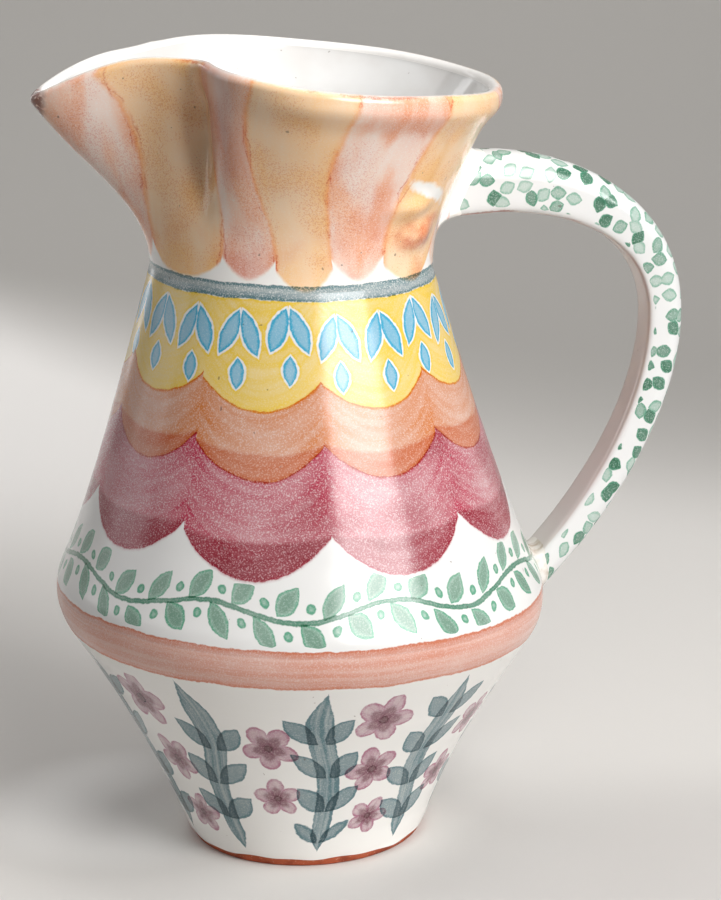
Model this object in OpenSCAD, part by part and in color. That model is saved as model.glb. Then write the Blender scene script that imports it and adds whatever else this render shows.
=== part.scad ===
// Earthenware pouring jug, 278 mm tall, in millimetres.
// The wall is thrown in three sections and joined: a bowl below the shoulder, a cone up to the
// waist, and a flared collar whose rim is pinched into a spout. A pulled handle is set on the
// collar and the shoulder, with a smoothed coil of clay round each of its two joints.
// +Z is up, the foot stands on z = 0, the spout points to -X and the handle to +X.

/* [Foot] */
// Diameter of the foot where it stands
foot_d = 82; // [70:1:94]
// Diameter of the hollow turned into the underside
foot_hollow_d = 62; // [40:1:66]
// Depth of that hollow
foot_hollow_h = 1.6; // [0.8:0.1:3]
// Height of the unglazed band at the foot
bare_h = 2.6; // [1.5:0.1:5]
// Height that the glaze stands proud of the bare clay
glaze_step = 0.5; // [0.2:0.1:1]
// Thickness of the floor, over the hollow
floor_t = 6.5; // [4:0.5:10]

/* [Wall] */
// Thickness of the thrown wall
wall_t = 5.5; // [4:0.1:7]
// Thickness of the rim
lip_t = 4.8; // [3.5:0.1:6]

/* [Lower bowl] */
// Diameter at the shoulder, the widest place
shoulder_d = 169; // [155:1:185]
// Height of the shoulder
shoulder_h = 89; // [78:1:100]
// Radius that rounds the shoulder
shoulder_round = 20; // [14:1:24]
// Outward lean of the wall at the foot, degrees
foot_lean = 19; // [10:1:26]
// Outward lean of the wall below the shoulder, degrees
bowl_lean = 33; // [28:1:38]
// Slope of the joint at the shoulder, as a rise across the wall
seam_rise = 3; // [0:0.5:4]

/* [Upper cone] */
// Diameter at the waist, the narrowest place
waist_d = 95.6; // [86:0.2:106]
// Height of the waist
waist_h = 203; // [190:1:216]
// Inward lean of the wall above the shoulder, degrees
shoulder_lean = 26; // [22:1:30]
// Inward lean of the wall at the waist, degrees
waist_lean = 16; // [10:1:18]

/* [Collar] */
// Diameter of the rim in the line of the handle
rim_d = 140; // [130:1:152]
// Diameter of the rim across that line
rim_across = 153; // [143:1:161]
// Height of the rim at the pinches
rim_h = 278; // [266:1:290]
// How much lower the rim is beside the handle
rim_dip = 15; // [0:0.5:18]
// How far up the collar the wall stays upright, as a share of its height
upright_share = 0.36; // [0.28:0.01:0.44]
// How far out the flare has come at the middle, as a share of its reach
flare_share = 0.49; // [0.42:0.01:0.56]
// How far the roll below the rim stands out
roll_out = 2.6; // [0:0.2:4]
// Distance of the roll below the rim
roll_below = 6.5; // [5:0.5:8.5]
// Half height of the roll
roll_h = 4.6; // [3:0.2:6]

/* [Spout] */
// Distance of the spout's tip from the axis
spout_reach = 85; // [78:0.5:93]
// Angular half width of the spout's beak, degrees
beak_angle = 11.5; // [9:0.5:15]
// How far the tip drops below the rim beside it
tip_drop = 13.5; // [6:0.5:16]
// Depth of the thumb's pinch beside the spout, on the -Y side
pinch_in = 23.5; // [16:0.5:28]
// Direction of that pinch, degrees from the handle
pinch_at = 142; // [136:1:146]
// Angular half width of that pinch, degrees
pinch_angle = 29; // [22:1:32]
// Depth of the softer pinch on the +Y side
soft_pinch_in = 14; // [8:0.5:20]
// Direction of the softer pinch, degrees from the handle
soft_pinch_at = 134; // [128:1:140]
// Angular half width of the softer pinch, degrees
soft_pinch_angle = 36; // [28:1:40]
// How much lower the rim is at the softer pinch
soft_pinch_dip = 4.2; // [0:0.2:7]
// Depth of the groove that the thumb left in its pinch
groove_in = 6.5; // [0:0.5:8]
// Direction of the groove, degrees from the handle
groove_at = 138.5; // [134:0.5:143]
// Angular half width of the groove, degrees
groove_angle = 8; // [6:0.5:11]
// How far the ridge beside the groove stands out, towards the handle
ridge_out = 2.2; // [0:0.2:3]

/* [Handle] */
// Height of the handle's centre line at the collar
handle_top_h = 228; // [222:1:234]
// Height of the handle's centre line at the shoulder
handle_low_h = 87; // [83:1:92]
// Distance of the centre line from the axis, where it is farthest out
handle_reach = 131; // [122:1:142]
// Height at which it is farthest out
handle_mid_h = 178; // [168:1:188]
// Angle between the handle and a line square to the wall, where it leaves the shoulder, degrees
tail_angle = 51; // [40:1:60]
// Thickness of the strap at the collar
root_t = 21; // [17:0.5:24]
// Thickness of the strap where it is farthest out
mid_t = 13.5; // [11:0.5:17]
// Thickness of the strap at the shoulder
tail_t = 11.5; // [9:0.5:14]
// Width of the strap at the collar
root_w = 22; // [17:0.5:26]
// Width of the strap where it is farthest out
mid_w = 15.5; // [13:0.5:20]
// Width of the strap at the shoulder
tail_w = 18; // [14:0.5:21]

/* [Joint coils] */
// How far a coil spreads over the wall
coil_spread = 5; // [3:0.5:7]
// How far a coil climbs up the handle
coil_h = 6; // [4:0.5:9]
// How hollow the smoothed coil is, as a share from 0, straight, to 1
coil_hollow_share = 0.55; // [0.2:0.05:0.8]
// Thickness of the slip between the wall and what is set on it
slip_t = 0.15; // [0.1:0.05:0.4]

/* [Hidden] */
$fn = 96;

glaze_colour = "#efe9df";
salmon = "#d9a184";
apricot = "#dfae82";

// Steps along the curves of the wall
bowl_steps = 12;
arc_steps = 6;
cone_steps = 12;
lip_steps = 6;
// Shares of the way up the collar, closer together at the rim
collar_shares = [for (i = [0:9]) i / 12, for (i = [19:24]) i / 24];
// Directions round the collar from the handle, closer together where the wall turns quickly
soft_side = [each [0:6:96], each [100:4:180]];
thumb_side = [each [184:4:200], each [203:3:248], each [252:4:260], each [264:6:354]];
collar_angles = [each soft_side, each thumb_side];
// Sides and rings of the handle, and how square its section is on either side
strap_sides = 20;
strap_rings = 32;
outer_squareness = 2.3;
inner_squareness = 3.4;
fillet_steps = 4;
// Halvings that find where a line meets the wall
search_steps = 24;
// Steps for taking a direction from a surface
angle_step = 0.5;
path_step = 0.004;
height_step = 0.5;
// How far the curves of the wall keep their end directions, as shares of their lengths
bowl_foot_pull = 0.36;
bowl_top_pull = 0.33;
inside_pull = 0.6;
cone_pull = 0.25;
// Height at which the collar's flare is measured, as a share of the collar's height
flare_at = 0.57;
// Direction from which the rim stays level towards the spout, degrees from the handle
level_from = 134;
// Directions between which the roll fades out, degrees from the handle
roll_ends = [92, 124];
// Direction from the groove to the ridge, degrees
ridge_aside = 18.5;
// Where the groove sets in up the collar and is full, where it fades out, and how far it fades
groove_shares = [0.2, 0.75];
fade_shares = [0.84, 1];
groove_fade = 0.8;
// Width of the turn between floor and wall, in wall thicknesses
floor_turn = 2.5;
// The same pulls for the handle, at the collar, above the bend, below it and at the shoulder
root_pull = 0.5;
bend_pull_up = 0.27;
bend_pull_down = 0.35;
tail_pull = 0.39;
// How far the handle rises as it leaves the collar
root_lift = 3;

foot_r = foot_d / 2;
waist_r = waist_d / 2;
shoulder_r = shoulder_d / 2;
shoulder_centre = [shoulder_r - shoulder_round, shoulder_h];

// Small helpers

function mix(a, b, t) = a + (b - a) * t;
function ease(t) = t * t * (3 - 2 * t);
function step_up(x, ends) = ease(max(0, min(1, (x - ends[0]) / (ends[1] - ends[0]))));
function unit(v) = v / norm(v);
function hump(angle, centre, width) = exp(-pow((angle - centre) / width, 2));
function bezier(p, t) =
    pow(1 - t, 3) * p[0] + 3 * pow(1 - t, 2) * t * p[1] + 3 * (1 - t) * t * t * p[2] + pow(t, 3) * p[3];
function rise(lean) = [sin(lean), cos(lean)];
function reversed(list) = [for (i = [len(list) - 1:-1:0]) list[i]];

// Profile of the thrown wall, as [radius, height]

function shoulder_point(angle, depth) =
    shoulder_centre + (shoulder_round - depth) * [cos(angle), sin(angle)];
function shoulder_arc(from, to, depth) =
    [for (i = [0:arc_steps]) shoulder_point(mix(from, to, i / arc_steps), depth)];
// Direction from the shoulder's centre to the joint, at a depth in the wall
function seam_angle(depth) =
    asin(seam_rise * (0.5 - depth / wall_t) / (shoulder_round - depth));

bowl_reach = norm(shoulder_point(-bowl_lean, 0) - [foot_r, 0]);
bowl_frame = [
    [foot_r, 0],
    [foot_r, 0] + bowl_reach * bowl_foot_pull * rise(foot_lean),
    shoulder_point(-bowl_lean, 0) - bowl_reach * bowl_top_pull * rise(bowl_lean),
    shoulder_point(-bowl_lean, 0)
];
// The bowl's outside from the bare band up; the glaze stands a step proud of the clay below it
bare_r = foot_r + bare_h * tan(foot_lean) - glaze_step;
bowl_outside = [
    for (i = [0:bowl_steps])
        let (p = bezier(bowl_frame, i / bowl_steps))
        if (p[1] > 2 * bare_h) p
];
glaze_edge = [bare_r + glaze_step, bare_h];
// The inside runs level over the floor and turns up into the wall
inside_low = bowl_frame[3] + [-wall_t / cos(bowl_lean), 0];
inside_floor = [foot_r - floor_turn * wall_t, floor_t + foot_hollow_h];
bowl_inside_frame = [
    inside_floor,
    [foot_r, inside_floor[1]],
    inside_low - bowl_reach * inside_pull * rise(bowl_lean),
    inside_low
];
bowl_inside = [for (i = [0:bowl_steps]) bezier(bowl_inside_frame, i / bowl_steps)];

cone_start = shoulder_point(shoulder_lean, 0);
cone_reach = waist_h - cone_start[1];
cone_frame = [
    cone_start,
    cone_start + cone_reach * cone_pull * rise(-shoulder_lean),
    [waist_r, waist_h] - cone_reach * cone_pull * rise(-waist_lean),
    [waist_r, waist_h]
];
cone_outside = [for (i = [0:cone_steps]) bezier(cone_frame, i / cone_steps)];
cone_inside = [
    for (i = [0:cone_steps])
        bezier(cone_frame, i / cone_steps) - [wall_t * mix(1 / cos(shoulder_lean), 1, i / cone_steps), 0]
];

// Radius of the thrown body at a height
body_heights = [
    for (p = [each bowl_outside, each shoulder_arc(-bowl_lean, shoulder_lean, 0), each cone_outside])
        [p[1], p[0]]
];
function body_radius(z) = lookup(z, body_heights);

module lower_bowl() {
    color(glaze_colour)
        rotate_extrude()
            polygon([
                [0, foot_hollow_h],
                [foot_hollow_d / 2, foot_hollow_h],
                [foot_hollow_d / 2 + foot_hollow_h, 0],
                [foot_r - glaze_step, 0],
                [bare_r, bare_h],
                glaze_edge,
                each bowl_outside,
                each shoulder_arc(-bowl_lean, seam_angle(0), 0),
                each shoulder_arc(seam_angle(wall_t), -bowl_lean, wall_t),
                each reversed(bowl_inside),
                [0, inside_floor[1]]
            ]);
}

module upper_cone() {
    color(salmon)
        rotate_extrude()
            polygon([
                each shoulder_arc(seam_angle(0), shoulder_lean, 0),
                each cone_outside,
                each reversed(cone_inside),
                each shoulder_arc(shoulder_lean, seam_angle(wall_t), wall_t)
            ]);
}

// Collar, as a surface over the direction round the axis and the share of the way up to the rim

function from_handle(angle) = abs((angle + 180) % 360 - 180);
function beak(angle) = hump(from_handle(angle), 180, beak_angle);
// The pinches fade out towards the tip, and they differ on the two sides of the spout
function pinch(angle) =
    (1 - beak(angle)) * (
        sin(angle) < 0 ? pinch_in * hump(from_handle(angle), pinch_at, pinch_angle)
        : soft_pinch_in * hump(from_handle(angle), soft_pinch_at, soft_pinch_angle)
    );
function pinch_dip(angle) =
    sin(angle) < 0 ? 0
    : (1 - beak(angle)) * soft_pinch_dip * hump(from_handle(angle), soft_pinch_at + beak_angle, soft_pinch_angle);
function rim_radius(angle) =
    mix(rim_d, rim_across, pow(sin(angle), 2)) / 2
    - pinch(angle)
    + (spout_reach - rim_d / 2) * beak(angle);
function rim_height(angle) =
    rim_h
    - rim_dip * (cos(min(from_handle(angle), level_from)) - cos(level_from)) / (1 - cos(level_from))
    - pinch_dip(angle)
    - tip_drop * beak(angle);
function collar_frame(angle) =
    let (r = rim_radius(angle) - waist_r, h = rim_height(angle) - lip_t / 2 - waist_h)
    [
        [waist_r, waist_h],
        [waist_r, waist_h + upright_share * h],
        [waist_r + flare_share * r, waist_h + flare_at * h],
        [waist_r + r, waist_h + h]
    ];
// The thumb's groove runs through the wall; the ridge beside it and the roll are on the outside only
function thumb_share(angle, t) =
    sin(angle) < 0 ? step_up(t, groove_shares) * (1 - groove_fade * step_up(t, fade_shares)) : 0;
function groove(angle, t) = groove_in * thumb_share(angle, t) * hump(from_handle(angle), groove_at, groove_angle);
function ridge(angle, t) =
    ridge_out * thumb_share(angle, t) * hump(from_handle(angle), groove_at - ridge_aside, groove_angle);
function roll(angle, z) =
    roll_out * (1 - step_up(from_handle(angle), roll_ends)) * hump(rim_height(angle) - z, roll_below, roll_h);
function collar_point(angle, t, outer = true) =
    let (
        p = bezier(collar_frame(angle), t),
        r = p[0] - groove(angle, t) + (outer ? ridge(angle, t) + roll(angle, p[1]) : 0)
    )
    [r * cos(angle), r * sin(angle), p[1]];
function collar_climb(angle, t, outer = true) =
    unit(collar_point(angle, t, outer) - collar_point(angle, t - path_step, outer));
// Outward direction, kept level at the waist so that the joint there is flat
function collar_normal(angle, t, outer = true) =
    let (
        across = collar_point(angle + angle_step, t, outer) - collar_point(angle - angle_step, t, outer),
        n = cross(across, collar_climb(angle, t, outer))
    )
    unit([n[0], n[1], n[2] * min(1, 4 * t)]);
function collar_inside(angle, t) =
    collar_point(angle, t, false) - mix(wall_t, lip_t, t) * collar_normal(angle, t, false);
function lip_point(angle, turn) =
    let (n = collar_normal(angle, 1), up = collar_climb(angle, 1))
    collar_point(angle, 1) + lip_t / 2 * ((cos(turn) - 1) * n + sin(turn) * up);
// One closed loop through the wall: up the outside, over the lip and down the inside
function collar_loop(angle) = [
    for (t = collar_shares) collar_point(angle, t),
    for (i = [1:lip_steps]) lip_point(angle, 180 * i / lip_steps),
    for (i = [len(collar_shares) - 2:-1:0]) collar_inside(angle, collar_shares[i])
];
// Radius of the collar's outside in one direction, at a height
function collar_radius(angle, z) =
    lookup(z, [
        for (t = collar_shares)
            let (p = collar_point(angle, t))
            [p[2], norm([p[0], p[1]])]
    ]);

// Radius of the outside of the whole wall in one direction, at a height
function wall_radius(angle, z) = z < waist_h ? body_radius(z) : collar_radius(angle, z);
// Angle of a line square to the wall above the level, on the handle's side
function wall_tilt(z) =
    atan((wall_radius(0, z - height_step) - wall_radius(0, z + height_step)) / (2 * height_step));

// Joins closed loops of the same length into a ring
module ring_of_loops(loops) {
    n = len(loops);
    m = len(loops[0]);
    polyhedron(
        points = [for (loop = loops) each loop],
        faces = [
            for (i = [0:n - 1], j = [0:m - 1])
                let (
                    a = i * m + j,
                    b = i * m + (j + 1) % m,
                    c = (i + 1) % n * m + (j + 1) % m,
                    d = (i + 1) % n * m + j
                )
                each [[a, b, c], [a, c, d]]
        ]
    );
}

module spouted_collar() {
    color(apricot)
        ring_of_loops([for (angle = collar_angles) collar_loop(angle)]);
}

// Handle, swept along a centre line in the plane y = 0

handle_bend = [handle_reach, handle_mid_h];
tail_reach = handle_mid_h - handle_low_h;
handle_start = [wall_radius(0, handle_top_h), handle_top_h];
handle_end = [wall_radius(0, handle_low_h), handle_low_h];
tail_lean = 90 - tail_angle - wall_tilt(handle_low_h);
handle_upper = [
    handle_start,
    [mix(handle_start[0], handle_reach, root_pull), handle_top_h + root_lift],
    [handle_reach, mix(handle_top_h, handle_mid_h, bend_pull_up)],
    handle_bend
];
handle_lower = [
    handle_bend,
    [handle_reach, mix(handle_mid_h, handle_low_h, bend_pull_down)],
    handle_end + tail_reach * tail_pull * rise(tail_lean),
    handle_end
];
function path_point(s) = s < 0.5 ? bezier(handle_upper, 2 * s) : bezier(handle_lower, 2 * s - 1);
function path_direction(s) =
    unit(path_point(min(1, s + path_step)) - path_point(max(0, s - path_step)));
function along(root, mid, tail, s) =
    s < 0.5 ? mix(root, mid, ease(2 * s)) : mix(mid, tail, ease(2 * s - 1));
// A place in the strap's section: share 1 is its outline, round on the outside and flatter
// towards the hand, and share 0 is the centre line
function strap_point(s, k, share) =
    let (
        p = path_point(s),
        d = path_direction(s),
        turn = 360 * k / strap_sides,
        power = 2 / (sin(turn) < 0 ? inner_squareness : outer_squareness),
        half_w = share * along(root_w, mid_w, tail_w, s) / 2,
        half_t = share * along(root_t, mid_t, tail_t, s) / 2,
        across = half_w * sign(cos(turn)) * pow(abs(cos(turn)), power),
        out = half_t * sign(sin(turn)) * pow(abs(sin(turn)), power)
    )
    [p[0] - d[1] * out, across, p[1] + d[0] * out];

// Walks from a point along a direction until it meets the wall
function seat_radius(p) = slip_t + wall_radius(atan2(p[1], p[0]), p[2]);
function outside_wall(p) = norm([p[0], p[1]]) > seat_radius(p);
function meet(p, d, near, far, left) =
    let (half = (near + far) / 2)
    left == 0 ? p + half * d
    : outside_wall(p + half * d) ? meet(p, d, half, far, left - 1)
    : meet(p, d, near, half, left - 1);
// Where a place in the strap's section lands on the wall, at the top or at the tail
function seat(top, k, share) =
    let (
        s = top ? 0 : 1,
        d = (top ? -1 : 1) * path_direction(s)
    )
    meet(strap_point(s, k, share), [d[0], 0, d[1]], -root_t, root_t, search_steps);
// A place on the wall at some distance from the edge of a seat
function beside_seat(top, k, distance) =
    let (
        corner = seat(top, k, 1),
        aside = strap_point(top ? 0 : 1, k, 1) - strap_point(top ? 0 : 1, k, 0),
        radial = unit([corner[0], corner[1], 0]),
        p = corner + distance * unit(aside - (aside * radial) * radial),
        away = unit([p[0], p[1]]) * seat_radius(p)
    )
    [away[0], away[1], p[2]];

// The curved strap starts clear of both coils; its share of the path comes from the curve's speed
root_share = (coil_h + root_t / 2) / (6 * norm(handle_upper[1] - handle_upper[0]));
tail_share = (coil_h + tail_t) / (6 * norm(handle_lower[3] - handle_lower[2]));
strap_shares = [for (i = [0:strap_rings]) mix(root_share, 1 - tail_share, i / strap_rings)];
sides = [0:strap_sides - 1];
// The ends are closed by smaller rings that follow the wall
seat_shares = [1 / 3, 2 / 3, 1];
// How far up the side of the handle a coil climbs
function climb_point(top, k) =
    let (corner = seat(top, k, 1))
    corner + coil_h * unit(strap_point(top ? root_share : 1 - tail_share, k, 1) - corner);

// Joins rings of the same length into a tube, closed by a point at each end
module pointed_tube(first, rings, last) {
    n = len(rings);
    m = len(rings[0]);
    polyhedron(
        points = [first, each [for (ring = rings) each ring], last],
        faces = [
            for (j = [0:m - 1]) [0, 1 + j, 1 + (j + 1) % m],
            for (i = [0:n - 2], j = [0:m - 1])
                let (a = 1 + i * m + j, b = 1 + i * m + (j + 1) % m)
                each [[a, a + m, b + m], [a, b + m, b]],
            for (j = [0:m - 1])
                let (start = 1 + (n - 1) * m)
                [n * m + 1, start + (j + 1) % m, start + j]
        ]
    );
}

module handle() {
    rings = [
        for (share = seat_shares) [for (k = sides) seat(true, k, share)],
        [for (k = sides) climb_point(true, k)],
        for (s = strap_shares) [for (k = sides) strap_point(s, k, 1)],
        [for (k = sides) climb_point(false, k)],
        for (share = reversed(seat_shares)) [for (k = sides) seat(false, k, share)]
    ];
    color(glaze_colour)
        pointed_tube(seat(true, 0, 0), rings, seat(false, 0, 0));
}

// Coil of clay smoothed into the corner between the handle and the wall
function coil_loop(top, k) =
    let (
        corner = seat(top, k, 1),
        foot = beside_seat(top, k, coil_spread),
        climb = climb_point(top, k),
        pull = mix((foot + climb) / 2, corner, coil_hollow_share)
    )
    [
        corner,
        beside_seat(top, k, coil_spread / 2),
        for (i = [0:fillet_steps])
            let (t = i / fillet_steps)
            (1 - t) * (1 - t) * foot + 2 * t * (1 - t) * pull + t * t * climb
    ];

module upper_handle_coil() {
    color(apricot)
        ring_of_loops([for (k = sides) coil_loop(true, k)]);
}

module lower_handle_coil() {
    color(glaze_colour)
        ring_of_loops([for (k = [strap_sides - 1:-1:0]) coil_loop(false, k)]);
}

lower_bowl();
upper_cone();
spouted_collar();
handle();
upper_handle_coil();
lower_handle_coil();
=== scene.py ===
"""Glazed earthenware pouring jug: smooth pieces for its clay, painted glaze, a pale floor and soft light.

The pieces follow the curves of the jug's construction. Lengths are in millimetres until a mesh is made.
+Z is up, the spout points to -X, the handle to +X, and the camera stands on the -Y side.
"""
import math

import bpy
import numpy as np
from mathutils import Matrix, Vector


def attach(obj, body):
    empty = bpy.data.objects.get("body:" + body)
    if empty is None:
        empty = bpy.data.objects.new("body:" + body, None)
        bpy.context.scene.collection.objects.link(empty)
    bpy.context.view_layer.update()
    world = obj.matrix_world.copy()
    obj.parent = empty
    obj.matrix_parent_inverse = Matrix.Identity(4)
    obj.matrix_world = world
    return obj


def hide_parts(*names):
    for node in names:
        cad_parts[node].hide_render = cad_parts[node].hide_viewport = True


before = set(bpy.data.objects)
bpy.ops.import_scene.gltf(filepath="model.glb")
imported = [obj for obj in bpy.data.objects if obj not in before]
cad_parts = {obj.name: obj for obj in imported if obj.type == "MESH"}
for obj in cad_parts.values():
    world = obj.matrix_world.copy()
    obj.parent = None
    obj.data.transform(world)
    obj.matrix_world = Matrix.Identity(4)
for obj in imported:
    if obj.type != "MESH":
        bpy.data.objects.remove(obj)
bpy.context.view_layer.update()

MM = 0.001

# Sizes of the jug
FOOT_R = 41.0
FOOT_HOLLOW_R = 31.0
FOOT_HOLLOW_H = 1.6
BARE_H = 2.6
GLAZE_STEP = 0.5
FLOOR_T = 6.5
WALL_T = 5.5
LIP_T = 4.8
SHOULDER_R = 84.5
SHOULDER_H = 89.0
SHOULDER_ROUND = 20.0
FOOT_LEAN = 19.0
BOWL_LEAN = 33.0
SEAM_RISE = 3.0
WAIST_R = 47.8
WAIST_H = 203.0
SHOULDER_LEAN = 26.0
WAIST_LEAN = 16.0
RIM_D = 140.0
RIM_ACROSS = 153.0
RIM_H = 278.0
RIM_DIP = 15.0
LEVEL_FROM = 134.0
UPRIGHT_SHARE = 0.36
FLARE_SHARE = 0.49
FLARE_AT = 0.57
SPOUT_REACH = 85.0
BEAK_ANGLE = 11.5
TIP_DROP = 13.5
# The thumb's pinch on the -Y side of the spout, and the softer one on the +Y side: depth, direction, width
THUMB_PINCH = (23.5, 142.0, 29.0)
SOFT_PINCH = (14.0, 134.0, 36.0)
SOFT_PINCH_DIP = 4.2
# The thumb's groove in its pinch, and the ridge beside it
GROOVE_IN = 6.5
GROOVE_AT = 138.5
GROOVE_ANGLE = 8.0
RIDGE_OUT = 2.2
RIDGE_ASIDE = 18.5
GROOVE_SHARES = (0.2, 0.75)
FADE_SHARES = (0.84, 1.0)
GROOVE_FADE = 0.8
# The roll below the rim
ROLL_OUT = 2.6
ROLL_BELOW = 6.5
ROLL_H = 4.6
ROLL_ENDS = (92.0, 124.0)
HANDLE_TOP_H = 228.0
HANDLE_LOW_H = 87.0
HANDLE_REACH = 131.0
HANDLE_MID_H = 178.0
TAIL_ANGLE = 51.0
# Strap at the collar, at its farthest out and at the shoulder
STRAP_T = (21.0, 13.5, 11.5)
STRAP_W = (22.0, 15.5, 18.0)
OUTER_SQUARENESS = 2.3
INNER_SQUARENESS = 7.0
# Clay smoothed round the handle's joints on the collar and on the shoulder
COIL_SPREAD = (6.0, 4.2)
COIL_H = (7.0, 4.8)

# How far the curves keep their end directions, as shares of their lengths
BOWL_FOOT_PULL = 0.36
BOWL_TOP_PULL = 0.33
INSIDE_PULL = 0.6
CONE_PULL = 0.25
FLOOR_TURN = 2.5
ROOT_PULL = 0.5
BEND_PULL_UP = 0.27
BEND_PULL_DOWN = 0.35
TAIL_PULL = 0.39
ROOT_LIFT = 3.0

# The wall is higher towards the spout: by how much a millimetre, and where that comes in and goes out
SLANT = 0.042
SLANT_IN = (15.0, 70.0)
SLANT_OUT = (205.0, 255.0)

# Columns round the wall and round the strap
WALL_COLUMNS = 300
COLLAR_COLUMNS = 420
STRAP_COLUMNS = 72
# Height of the extra row beside a joint, which keeps the shading even across it
SEAM_ROW = 0.05


def mix(a, b, t):
    return a + (b - a) * t


def ease(t):
    return t * t * (3 - 2 * t)


def hump(x, centre, width):
    return np.exp(-(((x - centre) / width) ** 2))


def rise(lean):
    a = math.radians(lean)
    return np.array([math.sin(a), math.cos(a)])


def unit(v):
    return v / np.linalg.norm(v, axis=-1, keepdims=True)


def bezier(p, t):
    """Points of a cubic curve with the four control points p."""
    t = np.asarray(t, float)[..., None]
    return (1 - t) ** 3 * p[0] + 3 * (1 - t) ** 2 * t * p[1] + 3 * (1 - t) * t**2 * p[2] + t**3 * p[3]


def hand(angle, z):
    """How far the thrown wall strays from true, in a direction in degrees and at a height."""
    a = np.radians(angle)
    oval = 0.30 * np.sin(2 * a + 0.6) + 0.18 * np.sin(3 * a + 1.9 + z / 60)
    rings = 0.03 * np.sin(2 * np.pi * z / 13 + a) + 0.012 * np.sin(2 * np.pi * z / 6.1 + 2 * a + 1)
    return (oval + rings) * np.clip(z / 12, 0, 1)


def step_up(x, ends):
    return ease(np.clip((x - ends[0]) / (ends[1] - ends[0]), 0, 1))


def slanted(r, angle, z):
    """The point at a radius, a direction in degrees and a height, with the wall's slant."""
    a = np.radians(angle)
    x = r * np.cos(a)
    share = step_up(z, SLANT_IN) * (1 - step_up(z, SLANT_OUT))
    return np.stack([x, r * np.sin(a), z - SLANT * x * share], -1)


# Profile of the thrown wall, as radius and height


def shoulder_point(angle, depth):
    a = np.radians(np.asarray(angle, float))
    centre = np.array([SHOULDER_R - SHOULDER_ROUND, SHOULDER_H])
    return centre + (SHOULDER_ROUND - depth) * np.stack([np.cos(a), np.sin(a)], -1)


def seam_angle(depth):
    return math.degrees(math.asin(SEAM_RISE * (0.5 - depth / WALL_T) / (SHOULDER_ROUND - depth)))


foot_corner = np.array([FOOT_R, 0.0])
bowl_top = shoulder_point(-BOWL_LEAN, 0)
bowl_reach = np.linalg.norm(bowl_top - foot_corner)
BOWL_FRAME = [
    foot_corner,
    foot_corner + bowl_reach * BOWL_FOOT_PULL * rise(FOOT_LEAN),
    bowl_top - bowl_reach * BOWL_TOP_PULL * rise(BOWL_LEAN),
    bowl_top,
]
BARE_R = FOOT_R + BARE_H * math.tan(math.radians(FOOT_LEAN)) - GLAZE_STEP
inside_low = bowl_top - np.array([WALL_T / math.cos(math.radians(BOWL_LEAN)), 0])
inside_floor = np.array([FOOT_R - FLOOR_TURN * WALL_T, FLOOR_T + FOOT_HOLLOW_H])
INSIDE_FRAME = [
    inside_floor,
    np.array([FOOT_R, inside_floor[1]]),
    inside_low - bowl_reach * INSIDE_PULL * rise(BOWL_LEAN),
    inside_low,
]
cone_start = shoulder_point(SHOULDER_LEAN, 0)
waist = np.array([WAIST_R, WAIST_H])
cone_reach = WAIST_H - cone_start[1]
CONE_FRAME = [
    cone_start,
    cone_start + cone_reach * CONE_PULL * rise(-SHOULDER_LEAN),
    waist - cone_reach * CONE_PULL * rise(-WAIST_LEAN),
    waist,
]


def arc(start, end, depth, count):
    return shoulder_point(np.linspace(start, end, count), depth)


def cone_inside(t):
    thick = WALL_T * mix(1 / math.cos(math.radians(SHOULDER_LEAN)), 1, t)
    return bezier(CONE_FRAME, t) - np.stack([thick, np.zeros_like(t)], -1)


steps = np.linspace(0, 1, 90)
BODY = np.concatenate([bezier(BOWL_FRAME, steps), arc(-BOWL_LEAN, SHOULDER_LEAN, 0, 40)[1:],
                       bezier(CONE_FRAME, steps)[1:]])


# Collar, a surface over the direction round the axis and the share of the way up to the rim


def from_handle(angle):
    return np.abs((angle + 180) % 360 - 180)


def beak(angle):
    return hump(from_handle(angle), 180, BEAK_ANGLE)


def rim_radius(angle):
    away = from_handle(angle)
    thumb, soft = (depth * hump(away, at, wide) for depth, at, wide in (THUMB_PINCH, SOFT_PINCH))
    pinch = np.where(np.sin(np.radians(angle)) < 0, thumb, soft)
    across = np.sin(np.radians(angle)) ** 2
    pinched = mix(RIM_D, RIM_ACROSS, across) / 2 - (1 - beak(angle)) * pinch
    return pinched + (SPOUT_REACH - RIM_D / 2) * beak(angle)


def rim_height(angle):
    away = from_handle(angle)
    a = np.radians(angle)
    low = math.cos(math.radians(LEVEL_FROM))
    dip = RIM_DIP * (np.cos(np.radians(np.minimum(away, LEVEL_FROM))) - low) / (1 - low)
    soft = SOFT_PINCH_DIP * hump(away, SOFT_PINCH[1] + BEAK_ANGLE, SOFT_PINCH[2])
    dip = dip + np.where(np.sin(a) < 0, 0, (1 - beak(angle)) * soft)
    waver = 0.25 * np.sin(3 * a + 0.7) + 0.2 * np.sin(7 * a + 2.1)
    return RIM_H - dip - TIP_DROP * beak(angle) + waver


def collar_profile(angle, t):
    r = rim_radius(angle) - WAIST_R
    h = rim_height(angle) - LIP_T / 2 - WAIST_H
    frame_points = [(0 * r, 0 * h), (0 * r, UPRIGHT_SHARE * h), (FLARE_SHARE * r, FLARE_AT * h), (r, h)]
    return bezier([waist + np.stack(p, -1) for p in frame_points], t)


# Swellings where the handle's clay was pressed on to the collar: direction, height, widths, how far out
PRESSED = ((-54.0, 229.0, 9.0, 3.6, 2.8), (-46.0, 219.0, 9.0, 4.4, 2.8), (33.0, 217.0, 11.0, 6.0, 3.0))


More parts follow.
